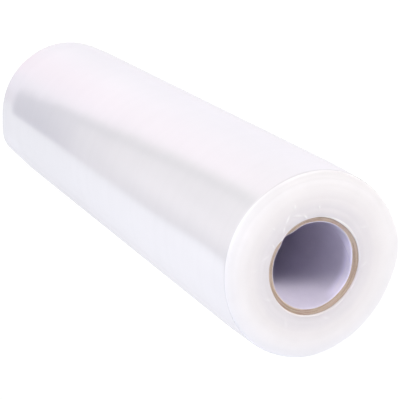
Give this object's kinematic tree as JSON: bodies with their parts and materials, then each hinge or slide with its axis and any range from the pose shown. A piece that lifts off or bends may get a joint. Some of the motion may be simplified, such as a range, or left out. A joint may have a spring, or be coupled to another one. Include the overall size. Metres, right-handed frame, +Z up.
{
  "type": "roll of cling film",
  "caption": "Thick roll of clear cling film for wrapping packs, wound on a hollow paper core that slips over a mandrel or hand dispenser.",
  "frame": {"origin": "centre of the bottom end, on the surface the roll stands on", "axes": "+Z up along the roll's axis; the roll is round, so X and Y are free"},
  "size_m": [0.1116, 0.1116, 0.4],
  "materials": {
    "film": "clear film wound into a milky, glossy body",
    "core_board": "raw brown board with a cut edge that shows its plies",
    "core_liner": "smooth pale grey-white paper"
  },
  "bodies": {
    "root": {"film": "film", "core_tube": "core_board", "core_liner": "core_liner"}
  },
  "joints": []
}
